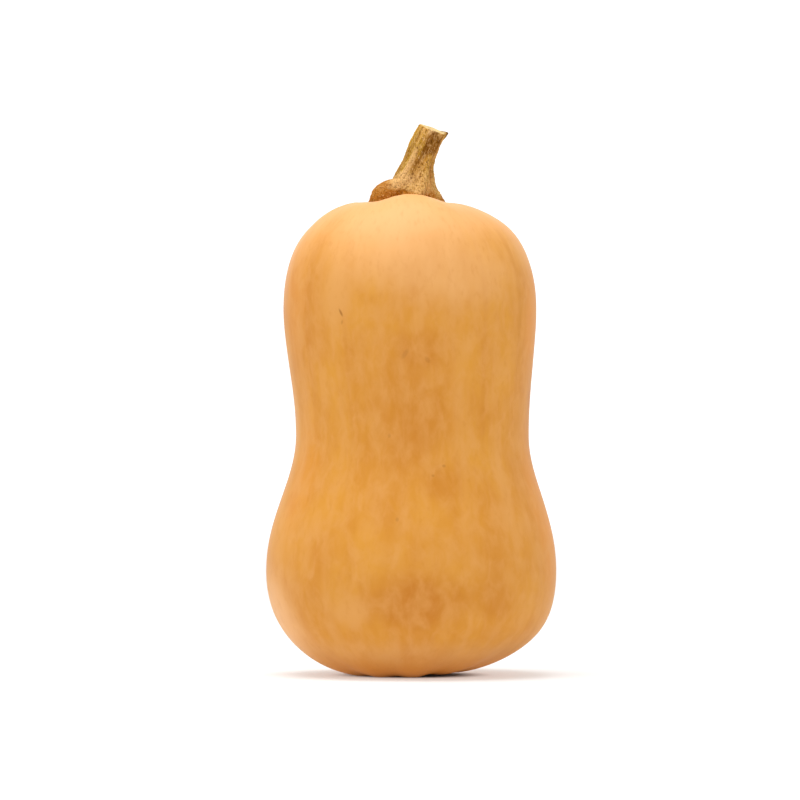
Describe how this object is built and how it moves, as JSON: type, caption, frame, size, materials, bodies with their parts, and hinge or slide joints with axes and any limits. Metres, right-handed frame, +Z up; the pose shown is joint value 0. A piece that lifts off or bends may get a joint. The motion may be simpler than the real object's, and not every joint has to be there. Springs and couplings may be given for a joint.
{
  "type": "butternut squash",
  "caption": "Whole butternut squash with a rounded bulb, a thick neck, a lobed crown and a short ridged stem cut off with a knife, standing on its blossom end.",
  "frame": {"origin": "on the surface the squash stands on, under the middle of its bulb", "axes": "+Z up, from the blossom end to the stem; -Y towards the viewer; the stem leans to +X"},
  "size_m": [0.122, 0.1225, 0.2315],
  "materials": {
    "rind": "smooth waxy rind, satin",
    "stem": "dry, ridged and corky, matte"
  },
  "bodies": {
    "root": {"fruit": "rind", "stem": "stem"}
  },
  "joints": []
}
